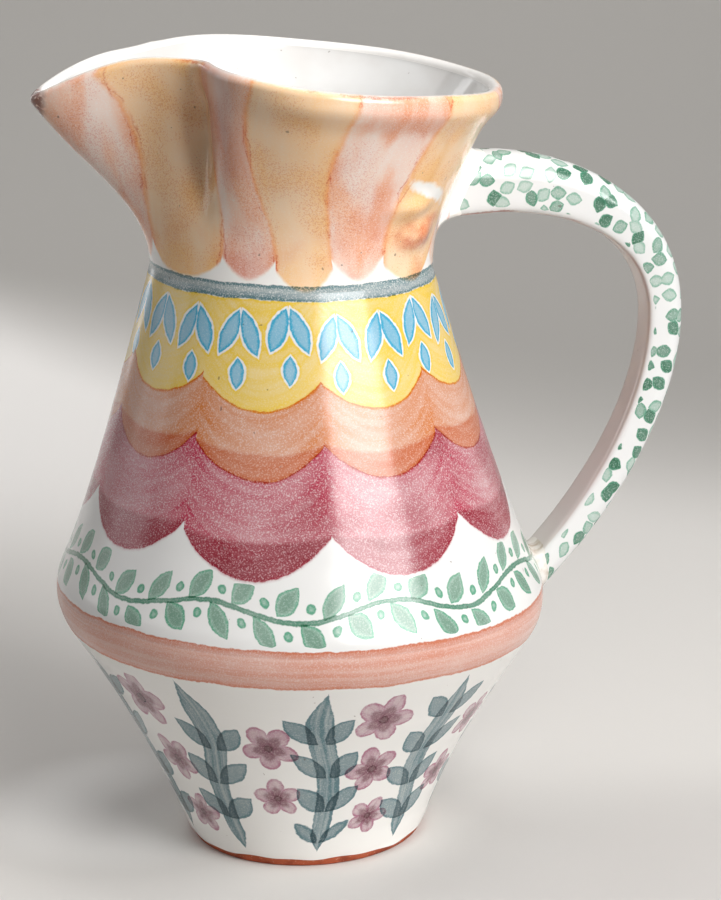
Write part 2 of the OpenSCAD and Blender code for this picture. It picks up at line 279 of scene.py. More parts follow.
def collar_point(angle, t, outer=True):
    """The thumb's groove runs through the wall; ridge, roll and swellings are on the outside only."""
    p = collar_profile(angle, t)
    z = p[..., 1]
    away = from_handle(angle)
    signed = (angle + 180) % 360 - 180
    thumb = np.where(signed < 0, step_up(t, GROOVE_SHARES) * (1 - GROOVE_FADE * step_up(t, FADE_SHARES)), 0)
    r = p[..., 0] + hand(angle, z) - GROOVE_IN * thumb * hump(away, GROOVE_AT, GROOVE_ANGLE)
    if outer:
        r = r + RIDGE_OUT * thumb * hump(away, GROOVE_AT - RIDGE_ASIDE, GROOVE_ANGLE)
        r = r + ROLL_OUT * (1 - step_up(away, ROLL_ENDS)) * hump(rim_height(angle) - z, ROLL_BELOW, ROLL_H)
        for toward, height, wide, tall, out in PRESSED:
            r = r + out * np.exp(-(((signed - toward) / wide) ** 2) - ((z - height) / tall) ** 2)
    return slanted(r, angle, z)


def collar_climb(angle, t, outer=True):
    return unit(collar_point(angle, t, outer) - collar_point(angle, t - 0.004, outer))


def collar_normal(angle, t, outer=True):
    across = collar_point(angle + 0.5, t, outer) - collar_point(angle - 0.5, t, outer)
    n = np.cross(across, collar_climb(angle, t, outer))
    n[..., 2] *= np.minimum(1, 4 * t)
    return unit(n)


def wall_radius(angle, z):
    """Radius of the outside of the whole wall, in directions in degrees and at heights."""
    low, high = np.zeros_like(z), np.ones_like(z)
    for _ in range(30):
        t = (low + high) / 2
        above = collar_point(angle, t)[..., 2] > z
        high = np.where(above, t, high)
        low = np.where(above, low, t)
    collar = np.linalg.norm(collar_point(angle, (low + high) / 2)[..., :2], axis=-1)
    level = z
    for _ in range(6):
        body = np.interp(level, BODY[:, 1], BODY[:, 0]) + hand(angle, level)
        level = level + z - slanted(body, angle, level)[..., 2]
    return np.where(level < WAIST_H, body, collar)


# Meshes


def signed_volume(points, faces):
    """Volume inside the faces, positive when they face outwards."""
    total = 0.0
    for f in faces:
        a = points[f[:, 0]]
        for k in range(1, f.shape[1] - 1):
            total += np.einsum("ij,ij->", a, np.cross(points[f[:, k]], points[f[:, k + 1]]))
    return total / 6


def skin(name, grid, materials, zones=None, closed=True, caps=None, sharp=(), attributes=None):
    """Makes an object from rows of points that each run once round.

    The last row joins the first if closed, and otherwise caps holds the middle points of both ends.
    zones gives each row's material by number, and sharp names the rows that keep a hard edge."""
    rows, columns = grid.shape[:2]
    points = grid.reshape(-1, 3)
    j = np.arange(columns)
    k = (j + 1) % columns
    quads = []
    for i in range(rows if closed else rows - 1):
        a, b = i * columns, (i + 1) % rows * columns
        quads.append(np.stack([a + j, a + k, b + k, b + j], -1))
    row_zones = np.zeros(rows, int) if zones is None else np.asarray(zones)
    zone = np.repeat(row_zones[:len(quads)], columns)
    faces = [np.concatenate(quads)]
    if caps is not None:
        points = np.concatenate([points, np.asarray(caps, float)])
        last = (rows - 1) * columns
        first_fan = np.stack([np.full(columns, rows * columns), k, j], -1)
        last_fan = np.stack([last + j, last + k, np.full(columns, rows * columns + 1)], -1)
        faces += [first_fan, last_fan]
        zone = np.concatenate([zone, np.full(columns, zone[0]), np.full(columns, zone[-1])])
    if signed_volume(points, faces) < 0:
        faces = [f[:, ::-1] for f in faces]
    mesh = bpy.data.meshes.new(name)
    mesh.from_pydata((points * MM).tolist(), [], [f for group in faces for f in group.tolist()])
    for material in materials:
        mesh.materials.append(material)
    mesh.polygons.foreach_set("material_index", zone.astype(np.int32))
    mesh.polygons.foreach_set("use_smooth", np.ones(len(mesh.polygons), bool))
    ends = np.zeros(len(mesh.edges) * 2, np.int32)
    mesh.edges.foreach_get("vertices", ends)
    row_of = ends.reshape(-1, 2) // columns
    hard = (row_of[:, 0] == row_of[:, 1]) & np.isin(row_of[:, 0], list(sharp))
    mesh.edges.foreach_set("use_edge_sharp", hard)
    for label, values in (attributes or {}).items():
        flat = np.zeros(len(points), np.float32)
        flat[:rows * columns] = np.asarray(values, np.float32).reshape(-1)
        mesh.attributes.new(label, "FLOAT", "POINT").data.foreach_set("value", flat)
    mesh.validate()
    mesh.update()
    obj = bpy.data.objects.new(name, mesh)
    bpy.context.scene.collection.objects.link(obj)
    return obj


def lathe(profile):
    """Rows of points turned round the axis, with the wall's own straying and slant."""
    angle = np.arange(WALL_COLUMNS)[None] * 360 / WALL_COLUMNS
    r = profile[:, :1] + hand(angle, profile[:, 1:])
    return slanted(r, angle, np.repeat(profile[:, 1:], WALL_COLUMNS, 1))


# Painting, by nodes


def linear(rgb):
    """Colour from 0 to 255 as the shader's own numbers."""
    out = []
    for c in rgb:
        s = c / 255
        out.append(s / 12.92 if s <= 0.04045 else ((s + 0.055) / 1.055) ** 2.4)
    return (*out, 1.0)


class Val:
    """A number in a node tree: arithmetic on it adds Math nodes."""

    def __init__(self, tree, socket):
        self.tree = tree
        self.socket = socket

    def math(self, operation, *others, clamp=False):
        node = self.tree.nodes.new("ShaderNodeMath")
        node.operation = operation
        node.use_clamp = clamp
        for socket, item in zip(node.inputs, (self, *others)):
            put(self.tree, socket, item)
        return Val(self.tree, node.outputs[0])

    def __add__(self, other):
        return self.math("ADD", other)

    def __sub__(self, other):
        return self.math("SUBTRACT", other)

    def __mul__(self, other):
        return self.math("MULTIPLY", other)

    def __truediv__(self, other):
        return self.math("DIVIDE", other)

    def __rsub__(self, other):
        return (self * -1.0) + other

    def __abs__(self):
        return self.math("ABSOLUTE")

    __radd__ = __add__
    __rmul__ = __mul__

    def floor(self):
        return self.math("FLOOR")

    def sin(self):
        return self.math("SINE")

    def wrap(self, count):
        return self.math("FLOORED_MODULO", count)

    def larger(self, other):
        return self.math("MAXIMUM", other)

    def smaller(self, other):
        return self.math("MINIMUM", other)

    def smooth(self, low, high):
        """0 below low and 1 above high, or the other way round if low is the larger."""
        node = self.tree.nodes.new("ShaderNodeMapRange")
        node.interpolation_type = "SMOOTHSTEP"
        for socket, item in zip(node.inputs, (self, low, high)):
            put(self.tree, socket, item)
        return Val(self.tree, node.outputs[0])


def put(tree, socket, item):
    """Sets a socket to a number, or links it to what a Val or another socket gives."""
    if isinstance(item, Val):
        tree.links.new(item.socket, socket)
    elif isinstance(item, bpy.types.NodeSocket):
        tree.links.new(item, socket)
    else:
        socket.default_value = item


def length(a, b):
    return (a * a + b * b).math("SQRT")


class Paint:
    """One material of the jug: a base colour on which washes are laid, and then a shader over it."""

    def __init__(self, name, ground):
        self.material = bpy.data.materials.new(name)
        self.material.use_nodes = True
        self.tree = self.material.node_tree
        self.tree.nodes.clear()
        self.base = linear(ground)
        coordinates = self.tree.nodes.new("ShaderNodeTexCoord")
        self.place = self.vector("SCALE", coordinates.outputs["Object"], scale=1 / MM)

    def vector(self, operation, a, b=None, scale=None):
        node = self.tree.nodes.new("ShaderNodeVectorMath")
        node.operation = operation
        put(self.tree, node.inputs[0], a)
        if b is not None:
            put(self.tree, node.inputs[1], b)
        if scale is not None:
            put(self.tree, node.inputs["Scale"], scale)
        return node.outputs[0]

    def noise_node(self, scale, detail, stretch, at):
        node = self.tree.nodes.new("ShaderNodeTexNoise")
        node.inputs["Scale"].default_value = scale
        node.inputs["Detail"].default_value = detail
        where = self.place if at is None else at
        if stretch is not None:
            where = self.vector("MULTIPLY", where, stretch)
        put(self.tree, node.inputs["Vector"], where)
        return node

    def noise(self, scale, detail=2.0, stretch=None, at=None):
        """Noise from 0 to 1 with this many waves a millimetre."""
        return Val(self.tree, self.noise_node(scale, detail, stretch, at).outputs["Fac"])

    def shaken(self, *amounts):
        """The place moved about by noise: pairs of waves a millimetre and of distance."""
        place = self.place
        for scale, distance in amounts:
            colour = self.noise_node(scale, 1.0, None, None).outputs["Color"]
            shift = self.vector("SUBTRACT", colour, (0.5, 0.5, 0.5))
            place = self.vector("ADD", place, self.vector("SCALE", shift, scale=2 * distance))
        return place

    def split(self, place):
        node = self.tree.nodes.new("ShaderNodeSeparateXYZ")
        put(self.tree, node.inputs[0], place)
        return [Val(self.tree, out) for out in node.outputs]

    def join(self, *numbers):
        node = self.tree.nodes.new("ShaderNodeCombineXYZ")
        for socket, item in zip(node.inputs, numbers):
            put(self.tree, socket, item)
        return node.outputs[0]

    def scatter(self, place, spacing, loose):
        """Spots scattered over a flat place: where a point is from its spot, and a random number a spot."""
        node = self.tree.nodes.new("ShaderNodeTexVoronoi")
        node.voronoi_dimensions = "2D"
        node.inputs["Scale"].default_value = 1 / spacing
        node.inputs["Randomness"].default_value = loose
        put(self.tree, node.inputs["Vector"], place)
        away = self.vector("SUBTRACT", place, node.outputs["Position"])
        return away, self.split(node.outputs["Color"])[0]

    def attribute(self, name):
        node = self.tree.nodes.new("ShaderNodeAttribute")
        node.attribute_name = name
        return Val(self.tree, node.outputs["Fac"])

    def random(self, number, seed):
        """A random number from 0 to 1 for each whole number."""
        node = self.tree.nodes.new("ShaderNodeTexWhiteNoise")
        node.noise_dimensions = "1D"
        put(self.tree, node.inputs["W"], number + seed)
        return Val(self.tree, node.outputs["Value"])

    def lay(self, colour, amount, blend="MULTIPLY"):
        """Lays a colour over what is there; MULTIPLY lets the ground show through."""
        node = self.tree.nodes.new("ShaderNodeMix")
        node.data_type = "RGBA"
        node.blend_type = blend
        put(self.tree, node.inputs["Factor"], amount)
        put(self.tree, node.inputs[6], self.base)
        put(self.tree, node.inputs[7], linear(colour))
        self.base = node.outputs[2]

    def ray(self, kind):
        """1 for rays of a kind, such as "Is Diffuse Ray", and 0 for others."""
        return Val(self.tree, self.tree.nodes.new("ShaderNodeLightPath").outputs[kind])

    def finish(self, roughness, height, bump_mm, specular=0.5, glow=None, clear=None):
        """Ends the material with a shader; height is bumped by this many millimetres.

        glow is a colour and a strength of light of its own, and clear is how far it is seen through."""
        shader = self.tree.nodes.new("ShaderNodeBsdfPrincipled")
        put(self.tree, shader.inputs["Base Color"], self.base)
        put(self.tree, shader.inputs["Roughness"], roughness)
        shader.inputs["Specular IOR Level"].default_value = specular
        if glow is not None:
            shader.inputs["Emission Color"].default_value = linear(glow[0])
            put(self.tree, shader.inputs["Emission Strength"], glow[1])
        bump = self.tree.nodes.new("ShaderNodeBump")
        bump.inputs["Strength"].default_value = 1.0
        bump.inputs["Distance"].default_value = bump_mm * MM
        put(self.tree, bump.inputs["Height"], height)
        self.tree.links.new(bump.outputs["Normal"], shader.inputs["Normal"])
        end = self.tree.nodes.new("ShaderNodeOutputMaterial")
        if clear is None:
            self.tree.links.new(shader.outputs[0], end.inputs["Surface"])
            return self.material
        both = self.tree.nodes.new("ShaderNodeMixShader")
        put(self.tree, both.inputs[0], clear)
        self.tree.links.new(shader.outputs[0], both.inputs[1])
        self.tree.links.new(self.tree.nodes.new("ShaderNodeBsdfTransparent").outputs[0], both.inputs[2])
        self.tree.links.new(both.outputs[0], end.inputs["Surface"])
        return self.material


# Colours, from 0 to 255
# The one white glaze comes in lit and shaded copies: the collar's is lighter, painted light, and the cone's
# and handle's are darker, painted shade
BOWL_WHITE = (240, 238, 234)
CONE_WHITE_WITH_PAINTED_SHADE = (231, 230, 228)
COLLAR_WHITE_WITH_PAINTED_LIGHT = (254, 251, 247)
HANDLE_WHITE_WITH_PAINTED_SHADE = (227, 227, 226)
APRICOT = (255, 205, 142)
PINK = (255, 200, 166)
RED_LINE = (218, 102, 66)
LINE_BLUE = (104, 138, 146)
YELLOW = (254, 216, 84)
SKY = (72, 182, 222)
ORANGE = (223, 130, 58)
ROSE = (197, 64, 92)
DEEP_ROSE = (176, 54, 84)
GREEN = (104, 176, 146)
DEEP_GREEN = (70, 140, 112)
SALMON = (216, 128, 96)
GREY_BLUE = (94, 130, 140)
PLUM = (180, 122, 146)
DEEP_PLUM = (128, 46, 74)
CLAY = (176, 86, 54)
BROWN = (120, 60, 44)
# Painted shade for the thumb's groove
GROOVE_SHADE_BROWN = (190, 136, 120)
PINHOLE = (120, 96, 84)

# Heights of the painted zones
BAND_LOW = 79.0
BAND_HIGH = 93.0
LINE_LOW = 200.4
LINE_HIGH = 205.4


class Brushwork(Paint):
    """A painted glaze: lines shake as by a hand, and washes are grainy, streaky and darker at edges."""

    def __init__(self, name, ground):
        super().__init__(name, ground)
        x, y, z = self.split(self.shaken((0.045, 1.1), (0.25, 0.35)))
        self.z = z + x * SLANT * z.smooth(*SLANT_IN) * z.smooth(*SLANT_OUT[::-1])
        self.radius = length(x, y)
        self.angle = y.math("ARCTAN2", x)
        self.grain = self.noise(2.1, 2.0).smooth(0.46, 0.72)
        self.blotch = self.noise(0.06, 2.0)
        self.fray = self.noise(0.7, 1.0) - 0.5

    def columns(self, count, shift=0.0):
        """Which of count columns round the axis a place is in, and where across it, from -0.5 to 0.5."""
        turn = self.angle * (count / (2 * math.pi)) + shift
        number = turn.floor()
        return number.wrap(float(count)), turn - number - 0.5

    def across(self, share, count):
        """Distance along the wall for a share of a column."""
        return share * self.radius * (2 * math.pi / count)

    def leaf(self, x, y, length, width, tilt):
        """How deep a place is inside a leaf's outline, in millimetres."""
        c, s = math.cos(math.radians(tilt)), math.sin(math.radians(tilt))
        u = (x * c + y * s) * (2 / length)
        v = (y * c - x * s) * (2 / width)
        return (1.0 - u * u - abs(v)) * (width / 2)

    def bristles(self, along, across, number, low, high):
        """Streaks that a brush leaves along its way, as a density from low to high."""
        place = self.join(along * 0.025, across * 0.42, number * 5.3)
        return self.noise(1.0, 3.0, at=place).smooth(0.28, 0.72) * (high - low) + low

    def level_streaks(self):
        """Streaks of a brush held to the turning wall."""
        place = self.join(self.angle.sin() * 0.9, self.angle.math("COSINE") * 0.9, self.z * 0.55)
        return self.noise(1.0, 3.0, at=place).smooth(0.28, 0.72) * 0.26 + 0.82

    def wash(self, depth, colour, strength=1.0, pool=0.25, grain=0.4, streak=None, edge=0.22):
        """Lays a wash where depth, in millimetres inside its outline, is above 0, darker at its rim."""
        frayed = depth + self.fray * 0.7
        mask = frayed.smooth(-edge, edge)
        density = frayed.smooth(1.4, 0.2) * pool + (1.0 - pool)
        density = density * (self.blotch * 0.4 + 0.86)
        if streak is not None:
            density = density * streak
        density = density * (1.0 - self.grain * grain)
        self.lay(colour, (mask * density * strength).smaller(1.0))

    def end(self, smoothest=0.15):
        """The glaze's gloss: faintly uneven, with pinholes."""
        ripple = self.noise(0.026, 1.0) * 3.0 + self.noise(0.07, 1.0) * 1.5 + self.noise(0.8, 1.0) * 0.05
        pits = self.noise(0.55, 0.0).smooth(0.855, 0.875)
        self.lay(PINHOLE, pits * 0.6)
        rough = smoothest + self.noise(0.05, 2.0).smooth(0.35, 0.75) * 0.10 + pits * 0.3
        return self.finish(rough, ripple - pits * 0.5, 0.09)


def gone(depth, kept):
    """A wash's depth where kept is 1, and well outside its outline where kept is 0."""
    return depth * kept - (1.0 - kept) * 2.0


def bowl_paint():
    p = Brushwork("painted_bowl_glaze", BOWL_WHITE)
    count = 10
    # 1 at the shoulder and less towards the foot
    size = p.radius * (1 / 84.0)
    # Reeds, with a row of small leaves at each leaf_pitch
    number, share = p.columns(count, 0.13)
    sway = ((p.z * (2 * math.pi / 58)) + number * 2.4).sin() * 2.8 * size
    side = p.across(share, count) - sway
    half = p.z.smooth(2.0, 66.0) * 2.2 + 2.8
    taper = p.z.smooth(3.0, 14.0) * (p.random(number, 3.1) * 4.0 + 76.0 - p.z).smooth(-3.0, 16.0)
    reed = (half + 0.8) * taper - 0.8 - abs(side)
    p.wash(reed, GREY_BLUE, 1.1, 0.2, 0.25, p.bristles(p.z, side * 2.0, number, 0.75, 1.1))
    leaf_pitch = 15.0
    first = number * 5.3
    row = (p.z - first) * (1 / leaf_pitch)
    step = (row - row.floor() - 0.5) * leaf_pitch
    middle = (row.floor() + 0.5) * leaf_pitch + first
    inside = middle.smooth(14.0, 15.0) * middle.smooth(69.0, 68.0)
    leaf = p.leaf(abs(side) - 7.0 * size - 1.0, step, 15.0, 7.6, 46)
    p.wash(gone(leaf, inside), GREY_BLUE, 1.0, 0.2, 0.25)
    # Flowers of five petals, in columns between the reeds
    number, share = p.columns(count, 0.63)
    pitch = 22.0
    first = 8.0 - number.wrap(2.0) * (pitch / 2)
    rows = (p.z - first) * (1 / pitch)
    level_no = rows.floor()
    key = number * 7.0 + level_no
    lift = (rows - level_no - 0.5) * pitch + (p.random(key, 5.3) - 0.5) * 1.6
    side = p.across(share, count) + (p.random(key, 0.7) - 0.5) * 6.0 * size
    reach = (size * 0.7 + 0.3) * (10.4 + p.random(key, 9.9) * 1.2)
    middle = (level_no + 0.5) * pitch + first
    there = middle.smooth(70.0, 69.0) * middle.smooth(11.0, 12.0)
    out = length(side, lift)
    turn = lift.math("ARCTAN2", side) + p.random(key, 2.2) * 6.28
    petal = 2 * math.pi / 5
    fold = turn - (turn * (1 / petal) + 0.5).floor() * petal
    along = (out * fold.math("COSINE") - reach * 0.58) / (reach * 0.46)
    wide = out * fold.math("SINE") / (reach * 0.37)
    depth = (1.0 - length(along, wide)) * reach * 0.42
    p.wash(gone(depth, there), PLUM, 1.0, 0.3, 0.3, p.bristles(out, fold * 7.0, key, 0.72, 1.1))
    blush = reach * 0.62 - out - abs(fold) * reach * 0.35
    p.wash(gone(blush, there), DEEP_PLUM, 0.7, 0.1, 0.35, None, 1.2)
    p.wash(gone(reach * 0.17 - out, there), DEEP_PLUM, 0.8, 0.1, 0.2)
    # Band round the shoulder
    p.wash(p.z - BAND_LOW, SALMON, 1.0, 0.25, 0.3, p.level_streaks())
    return p.end()


def cone_paint():
    p = Brushwork("painted_cone_glaze", CONE_WHITE_WITH_PAINTED_SHADE)
    # Swags, hung in scallops: each is lowest in the middle of its column
    count = 9
    number, share = p.columns(count, 0.31)
    hang = share * share * 4.0
    drift = p.random(number, 1.7) * 4.0
    rose_low = hang * 14.0 + drift + 113.0
    rose_high = hang * 11.0 + drift + 144.0
    orange_high = hang * 9.0 + drift * 0.6 + 166.0
    drape = p.bristles(p.across(share, count), p.z - hang * 12.0, number, 0.88, 1.06)
    gather = drape * (hang * 0.2 + 0.9)
    # Pairs of blue leaves hung from the waist, each on bare glaze
    leaves = 20
    leaf_no, cell = p.columns(leaves, 0.2)
    side = abs(p.across(cell, leaves))
    sag = (p.random(leaf_no, 6.1) - 0.5) * 3.0
    pair = p.leaf(side - 3.5, p.z - 190.0 - sag, 15.5, 5.6, -68)
    drop = p.leaf(side, p.z - 177.5 - sag, 9.5, 4.8, 90)
    blue = pair.larger(drop)
    ground = (-0.7 - blue).smaller(p.z - orange_high + 0.6)
    p.wash(ground.smaller(LINE_LOW - p.z), YELLOW, 1.0, 0.15, 0.2, drape)
    p.wash(blue, SKY, 1.0, 0.3, 0.2)
    p.wash((p.z - rose_high + 0.5).smaller(orange_high - p.z), ORANGE, 1.0, 0.2, 0.4, gather)
    rose = (p.z - rose_low).smaller(rose_high - p.z)
    p.wash(rose, ROSE, 0.95, 0.12, 0.55, gather)
    p.wash(rose, DEEP_ROSE, 0.45, 0.1, 0.6, p.noise(0.032, 3.0).smooth(0.48, 0.66), 1.0)
    crescent = (1.0 - hang) * 12.0 - (p.z - rose_low)
    p.wash(rose.smaller(crescent), DEEP_ROSE, 0.7, 0.15, 0.5, drape, 1.2)
    trim = (1.0 - hang) * 8.0 - (p.z - rose_high)
    p.wash((p.z - rose_high).smaller(trim), ORANGE, 0.7, 0.15, 0.4, drape, 1.0)
    # Vine over the shoulder, with leaves and berries on both sides
    waves = 8
    climb = (p.angle * float(waves)).sin() * 2.7 + 104.0
    away = p.z - climb
    room = p.z.smooth(93.5, 95.0) * (rose_low - p.z).smooth(0.3, 1.5)
    p.wash(gone(0.8 - abs(away), room), DEEP_GREEN, 0.9, 0.2, 0.2)
    sprigs = 33
    for flip, shift in ((1.0, 0.0), (-1.0, 0.5)):
        leaf_no, cell = p.columns(sprigs, shift)
        side = p.across(cell, sprigs)
        turn = away * flip
        leaf = p.leaf(side, turn - 5.4 - (p.random(leaf_no, 2.6 + shift) - 0.5) * 1.5, 11.8, 6.6, 52)
        p.wash(gone(leaf, room), GREEN, 0.9 + 0.1 * shift, 0.35, 0.3)
        p.wash(gone(leaf - 1.2, room), DEEP_GREEN, 0.5, 0.1, 0.3, None, 0.9)
        berry_side = abs(side) - p.across(cell * 0.0 + 0.5, sprigs)
        berry = 1.5 - length(berry_side, turn - 4.0)
        p.wash(gone(berry, room), GREEN, 1.0, 0.3, 0.2)
    # Band round the shoulder and line round the waist
    level = p.level_streaks()
    p.wash(BAND_HIGH - p.z, SALMON, 1.0, 0.25, 0.3, level)
    p.wash(p.z - LINE_LOW, LINE_BLUE, 1.1, 0.3, 0.6, level)
    return p.end()


def collar_paint(name, bare=None):
    """The collar's washes; bare names an attribute that is 1 where the glaze is left white."""
    p = Brushwork(name, COLLAR_WHITE_WITH_PAINTED_LIGHT)
    inward = p.attribute("over_lip") if bare is None else p.attribute(bare) * 10.0 - 4.0
    keep = 3.0 - inward - p.fray * 1.6
    count = 14
    # Distances round the collar are taken at this radius near the handle and at that one near the groove
    near_handle, near_groove = 50.0, 60.0
    groove_side = (p.angle + math.radians(GROOVE_AT - 12.0)) * (near_groove / 16.0)
    p.angle = p.angle + (p.z * (2 * math.pi / 80) + p.angle * 3.0).sin() * 0.05
    p.angle = p.angle + (p.angle * 4.0 + 1.0).sin() * 0.07 + (p.angle * 7.0 + 2.5).sin() * 0.035
    number, share = p.columns(count, 0.27)
    side = p.across(share, count)
    brush = p.bristles(p.z, side * 0.5, number, 0.78, 1.06)
    tips = p.random(number, 8.0) * 4.0 + 203.6
    ends = (p.z - tips - share * share * 30.0).smaller(keep)
    # The glaze is left bare in a ragged patch where the handle is set on
    root_h = 234.0
    from_root = length((p.angle + 0.12) * near_handle, p.z - root_h)
    ends = ends.smaller(from_root - 15.5 - p.noise(0.16, 2.0) * 7.0)
    # A crest of white where clay of the handle was smeared along the collar
    crest_along = p.angle + 0.87
    crest_rise = p.z - root_h + crest_along * 34.0
    crest = length(crest_along * (near_handle / 9.0), crest_rise * (1 / 2.6))
    ends = ends.smaller((crest - 1.15 + p.noise(0.22, 2.0) * 0.7) * 3.0)
    # Apricot and pink strokes in turn, which overlap a little
    inside = p.across(0.5 - abs(share), count)
    pink = inside * (number.wrap(2.0) * 2.0 - 1.0)
    haze = p.noise(0.03, 2.0).smooth(0.3, 0.7) * 0.3 + 0.75
    p.wash((0.5 - pink).smaller(ends), APRICOT, 1.0, 0.1, 0.15, haze * (brush * 0.5 + 0.5), 1.0)
    thin = p.noise(1.0, 2.0, stretch=(0.09, 0.09, 0.018)).smooth(0.38, 0.62) * 0.55 + 0.5
    p.wash((pink + 0.5).smaller(ends), PINK, 1.0, 0.1, 0.35, brush * thin, 1.6)
    # Redder where the brush was full: in the pink, at the strokes' ends and on the smeared clay
    full = p.noise(0.035, 2.0).smooth(0.42, 0.68)
    p.wash(pink.smaller(ends), RED_LINE, 0.36, 0.1, 0.5, full * brush * thin, 1.6)
    blot = p.noise(0.05, 2.0).smooth(0.46, 0.72) * p.z.smooth(230.0, 208.0)
    p.wash(ends, RED_LINE, 0.5, 0.1, 0.4, blot * brush, 1.0)
    smear_side, smear_rise = (p.angle + 0.80) * (near_handle / 12.0), (p.z - 220.0) * (1 / 7.0)
    smear = (smear_side * smear_side + smear_rise * smear_rise).smooth(1.0, 0.2)
    p.wash(ends, RED_LINE, 0.6, 0.1, 0.4, smear * p.noise(0.12, 2.0).smooth(0.35, 0.65), 1.0)
    # Painted shade in the thumb's groove, in a brown tone, and specks of red
    groove_shade = (groove_side * groove_side).smooth(1.0, 0.0) * p.z.smooth(232.0, 264.0)
    p.lay(GROOVE_SHADE_BROWN, groove_shade * (p.blotch * 0.5 + 0.25))
    speck = p.noise(2.2, 1.0).smooth(0.50, 0.75) * p.noise(0.06, 1.0).smooth(0.35, 0.65)
    p.wash(gone(ends, speck), RED_LINE, 0.28, 0.0, 0.0)
    # Thin broken lines along the strokes
    patchy = p.noise(0.07, 2.0).smooth(0.46, 0.60)
    stray = p.noise(0.12, 1.0) * 5.0 - 2.0
    thread = (0.2 - abs(inside - stray - p.fray * 0.8)).smaller(ends)
    p.wash(thread, RED_LINE, patchy * 0.6, 0.0, 0.8, None, 0.25)
    # A broken red line under the lip, the line round the waist, and the spout's brown tip
    seen = p.noise(0.05, 2.0).smooth(0.45, 0.65)
    p.wash(gone(0.5 - abs(keep - 0.7), seen), RED_LINE, 0.6, 0.1, 0.5, None, 0.6)
    p.wash(LINE_HIGH - p.z, LINE_BLUE, 1.1, 0.3, 0.6, p.level_streaks())
    tip = (4.5 - SPOUT_REACH - p.split(p.place)[0]).smooth(0.0, 3.0)
    p.lay(BROWN, tip * 0.85 * p.noise(0.5, 2.0).smooth(0.3, 0.5))
    return p.end(0.07)


def handle_paint():
    p = Brushwork("painted_handle_glaze", HANDLE_WHITE_WITH_PAINTED_SHADE)
    start = p.attribute("along")
    spot, key = p.scatter(p.join(start, p.attribute("aside")), 6.3, 0.75)
    step, aside, _ = p.split(spot)
    turn = key * 2.4 - 0.2
    c, w = turn.math("COSINE"), turn.sin()
    bold = (key * 7.0).wrap(1.0)
    leaf = p.leaf(step * c + aside * w, aside * c - step * w, 6.4, 4.8, 0) - (1.0 - bold) * 0.2
    edge = p.attribute("to_edge")
    shown = start.smooth(3.0, 5.0) * p.attribute("to_go").smooth(4.0, 7.0) * edge.smooth(0.6, 2.0)
    p.wash(gone(leaf, shown), GREEN, bold * 0.4 + 0.7, 0.4, 0.3)
    p.wash(gone(leaf - 0.4, shown), DEEP_GREEN, bold.smooth(0.2, 0.9) * 0.95, 0.1, 0.5, None, 0.9)
    p.lay((238, 228, 225), edge.smooth(0.2, -0.6) * 0.8)
    # The glaze has run thin along the strap's edge, where the clay shows through
    thin = p.noise(0.045, 2.0).smooth(0.44, 0.60) * start.smooth(120.0, 30.0)
    p.lay(CLAY, (0.9 - abs(edge + 0.2 + p.fray)).smooth(0.0, 0.7) * thin * 0.7)
    return p.end()


def plain_glaze(name, ground, stain=0.0):
    p = Paint(name, ground)
    p.lay((232, 226, 222), p.noise(0.05, 3.0).smooth(0.35, 0.75) * 0.4)
    pits = p.noise(0.5, 0.0).smooth(0.84, 0.87)
    p.lay(PINHOLE, pits * 0.5)
    if stain:
        p.lay((176, 150, 116), p.noise(0.22, 3.0).smooth(0.44, 0.70) * stain)
    ripple = p.noise(0.085, 1.0)
    return p.finish(0.05 + p.noise(0.05, 2.0) * 0.06 + pits * 0.3, ripple - pits * 0.5, 0.09)


def bare_clay():
    p = Paint("bare_clay", CLAY)
    p.lay((120, 52, 34), p.noise(0.18, 4.0).smooth(0.4, 0.75) * 0.6)
    p.lay((235, 190, 160), p.noise(1.3, 2.0).smooth(0.6, 0.75) * 0.45, "MIX")
    return p.finish(0.86, p.noise(1.4, 4.0), 0.18, 0.3)


painted_bowl = bowl_paint()
painted_cone = cone_paint()
painted_collar = collar_paint("painted_collar_glaze")
painted_joint = collar_paint("painted_joint_glaze", "climb")
painted_handle = handle_paint()
# The inside's white is painted darker than the bowl's: painted shade
white_inside = plain_glaze("white_inside_glaze", (233, 232, 230))
white_joint = plain_glaze("white_joint_glaze", (232, 229, 223), 0.6)
clay = bare_clay()


